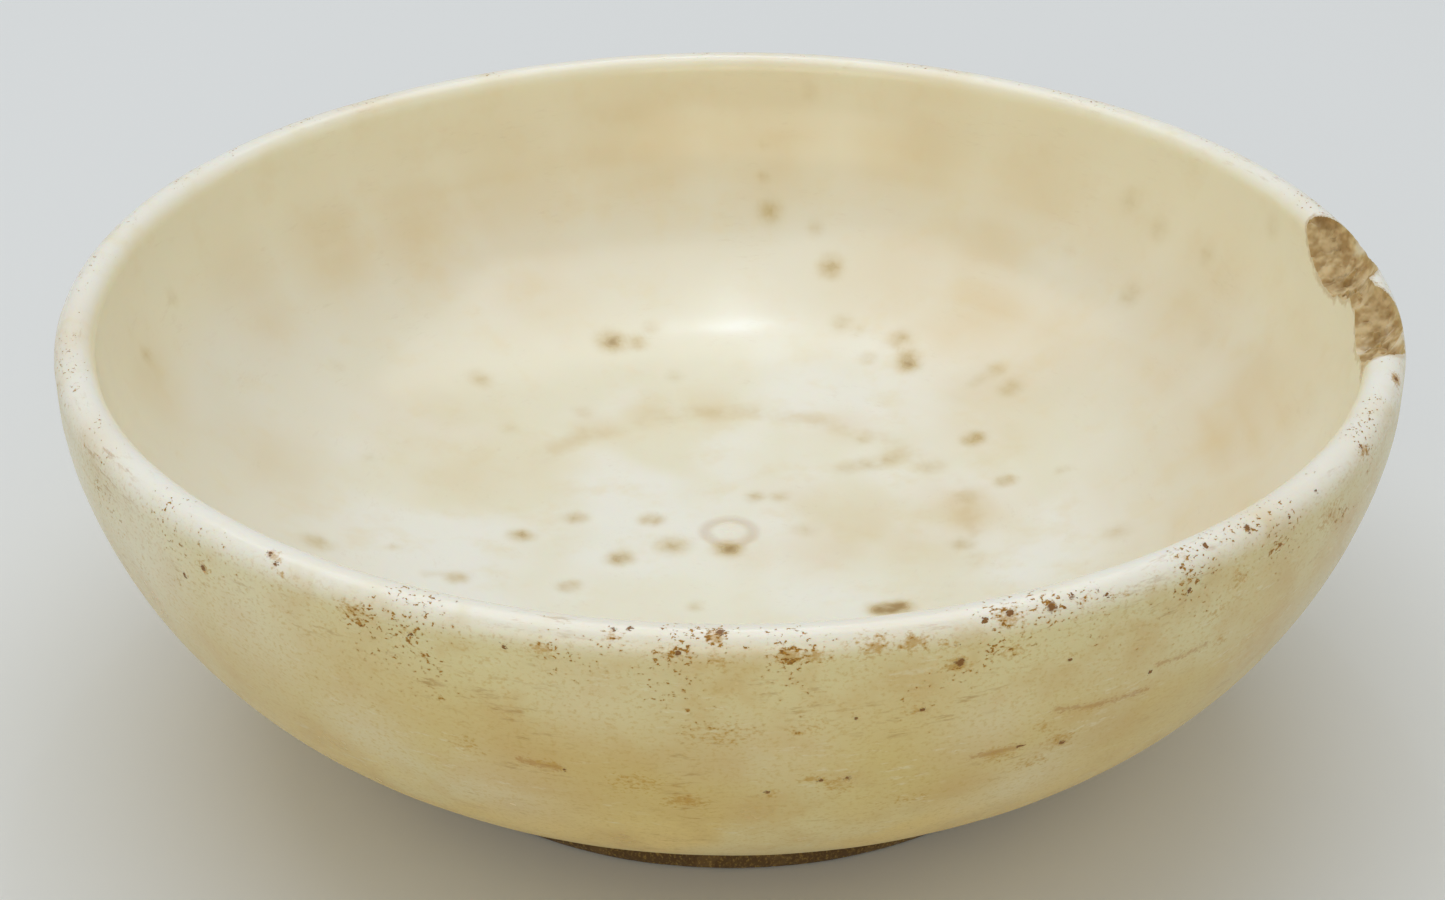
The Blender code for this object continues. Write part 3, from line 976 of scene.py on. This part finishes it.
def fractured(g, colour, broken, ragged, small_clouds):
    """Dirt worked into the broken stone, and a stained edge round it."""
    dirt = g.mix(g.step(ragged, 0.35, 0.65), BROKEN_BROWN, BROKEN_TAN)
    dirt = g.mix(g.step(small_clouds, 0.55, 0.70, 0.8), dirt, BROKEN_PALE)
    dirt = g.mix(g.step(small_clouds, 0.42, 0.30, 0.6), dirt, BROKEN_DARK)
    edge = g.step(g.add(g.attribute("near_break"), ragged), 0.98, 1.35, 0.5)
    return g.mix(broken, g.mix(edge, colour, ROUGH_TAN), dirt)


def footed(g, at, colour, outside, small_clouds):
    """A tan, unpolished foot and underside. The foot's wall is darkened with grime in patches and with
    painted shade that is deepest in front, on the camera side.
    """
    near_foot = g.step(at.height, FOOT_HEIGHT + 1.3 * MM, FOOT_HEIGHT - 0.7 * MM)
    low = g.times(near_foot, g.step(outside, 0.5, 0.9))
    bare = g.mix(g.step(small_clouds, 0.35, 0.65), FOOT_TAN, ROUGH_TAN)
    colour = g.mix(g.times(low, 0.9), colour, bare)
    wall = g.times(low, g.step(at.radius, FOOT_RADIUS - 9 * MM, FOOT_RADIUS - 2 * MM))
    # grime in cloudy patches, plus painted shade that deepens towards the front (-Y)
    grime_and_front_shade = g.add(g.step(small_clouds, 0.62, 0.36, 0.5), g.step(at.y, 0.020, -0.030, 0.85))
    return g.mix(g.times(wall, g.math("MINIMUM", grime_and_front_shade, 0.94)), colour, GRIME_AND_SHADE)


def marble():
    g = Graph("creamy_marble")
    at = Turned(g)
    outside, broken = g.attribute("outside"), g.attribute("broken")
    small_clouds = g.noise(at.point, *SMALL_CLOUDS)
    ragged = g.noise(at.point, *RAGGED)
    colour = stone_colour(g, at, outside, small_clouds)
    colour = tanned(g, colour, outside)
    colour = floor_rings(g, at, colour, outside, small_clouds)
    colour = streaked(g, at, colour)
    colour = footed(g, at, colour, outside, small_clouds)
    colour, core = stained(g, colour, ragged)
    colour, specks = dirty(g, at, colour, outside, ragged)
    colour = fractured(g, colour, broken, ragged, small_clouds)
    g.feed(g.shader.inputs["Base Color"], colour)

    rough = g.add(g.add(POLISHED, g.times(outside, OUTSIDE_ADDS)), g.times(small_clouds, CLOUDS_ADD))
    rough = g.add(rough, g.add(g.times(core, DIRT_ADDS), g.times(specks, DIRT_ADDS)))
    g.feed(g.shader.inputs["Roughness"], g.math("MAXIMUM", rough, g.times(broken, BROKEN_ROUGHNESS)))

    relief = g.minus(g.times(g.times(broken, ragged), 0.4), g.times(specks, 0.10))
    bump = g.node("ShaderNodeBump", {"Height": relief, "Distance": MM})
    g.feed(g.shader.inputs["Normal"], bump.outputs["Normal"])

    g.shader.inputs["Subsurface Weight"].default_value = SUBSURFACE_SHARE
    g.shader.inputs["Subsurface Radius"].default_value = SUBSURFACE_RADIUS
    g.shader.inputs["Subsurface Scale"].default_value = SUBSURFACE_SCALE
    g.shader.inputs["IOR"].default_value = MARBLE_IOR
    return g.material


def finish_bowl(bowl):
    mesh = bowl.data
    add_wear(mesh)
    mesh.polygons.foreach_set("material_index", [0] * len(mesh.polygons))
    mesh.materials.clear()
    mesh.materials.append(marble())
    mesh.shade_smooth()
    mesh.set_sharp_from_angle(angle=math.radians(SHARP_FROM_DEG))
    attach(bowl, "root")
    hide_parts(NODE)


finish_bowl(make_bowl())


# ---------------------------------------------------------------- studio

# The floor lies a hair below the foot, so that their faces don't coincide
FLOOR_GAP = 0.0001

CAMERA_DISTANCE = 0.400
CAMERA_ELEVATION_DEG = 25.19
CAMERA_PITCH_DEG = 28.92
CAMERA_PAN_DEG = 0.169
LENS_MM = 65.72
SENSOR_MM = 36

FLOOR_HALF_WIDTH = 8.0
FLOOR_COLOUR = (0.785, 0.805, 0.805, 1)
FLOOR_ROUGHNESS = 0.6

# Each light: place, what it points at, its two sizes, watts and colour
LIGHTS = {
    "key": ((0.0, 0.57, 1.08), (0, 0, 0), (0.042, 0.028), 0.21, (0.62, 0.78, 1.0)),
    "overhead": ((-0.1, 0.35, 1.4), (0, 0, 0), (1.6, 1.2), 9.2, (0.97, 0.98, 1.0)),
    "warm_fill": ((-0.2, -1.5, 0.65), (0, 0, 0.03), (1.6, 0.9), 5.4, (1.0, 0.925, 0.72)),
}
SKY_COLOUR = (0.96, 0.98, 1.0, 1)
SKY_STRENGTH = 0.48


def make_camera():
    data = bpy.data.cameras.new("camera")
    data.sensor_width = SENSOR_MM
    data.lens = LENS_MM
    camera = bpy.data.objects.new("camera", data)
    elevation = math.radians(CAMERA_ELEVATION_DEG)
    back = Vector((0, -math.cos(elevation), math.sin(elevation)))
    camera.location = Vector((0, 0, HEIGHT)) + CAMERA_DISTANCE * back
    camera.rotation_euler = (math.radians(90 - CAMERA_PITCH_DEG), 0, math.radians(CAMERA_PAN_DEG))
    bpy.context.scene.collection.objects.link(camera)
    bpy.context.scene.camera = camera


def make_floor():
    mesh = bpy.data.meshes.new("floor")
    half = FLOOR_HALF_WIDTH
    corners = [(-half, -half), (half, -half), (half, half), (-half, half)]
    mesh.from_pydata([(x, y, -FLOOR_GAP) for x, y in corners], [], [(0, 1, 2, 3)])
    floor = bpy.data.objects.new("floor", mesh)
    bpy.context.scene.collection.objects.link(floor)
    material = bpy.data.materials.new("pale_floor")
    material.use_nodes = True
    shader = material.node_tree.nodes["Principled BSDF"]
    shader.inputs["Base Color"].default_value = FLOOR_COLOUR
    shader.inputs["Roughness"].default_value = FLOOR_ROUGHNESS
    mesh.materials.append(material)


def area_light(name, location, aim, size, watts, colour):
    data = bpy.data.lights.new(name, "AREA")
    data.shape = "RECTANGLE"
    data.size, data.size_y = size
    data.energy = watts
    data.color = colour
    light = bpy.data.objects.new(name, data)
    light.location = location
    light.rotation_euler = (Vector(aim) - Vector(location)).to_track_quat("-Z", "Y").to_euler()
    bpy.context.scene.collection.objects.link(light)


def make_light():
    for name, settings in LIGHTS.items():
        area_light(name, *settings)
    world = bpy.data.worlds.new("studio")
    world.use_nodes = True
    background = world.node_tree.nodes["Background"]
    background.inputs["Color"].default_value = SKY_COLOUR
    background.inputs["Strength"].default_value = SKY_STRENGTH
    bpy.context.scene.world = world


make_camera()
make_floor()
make_light()
bpy.context.scene.view_settings.view_transform = "Standard"
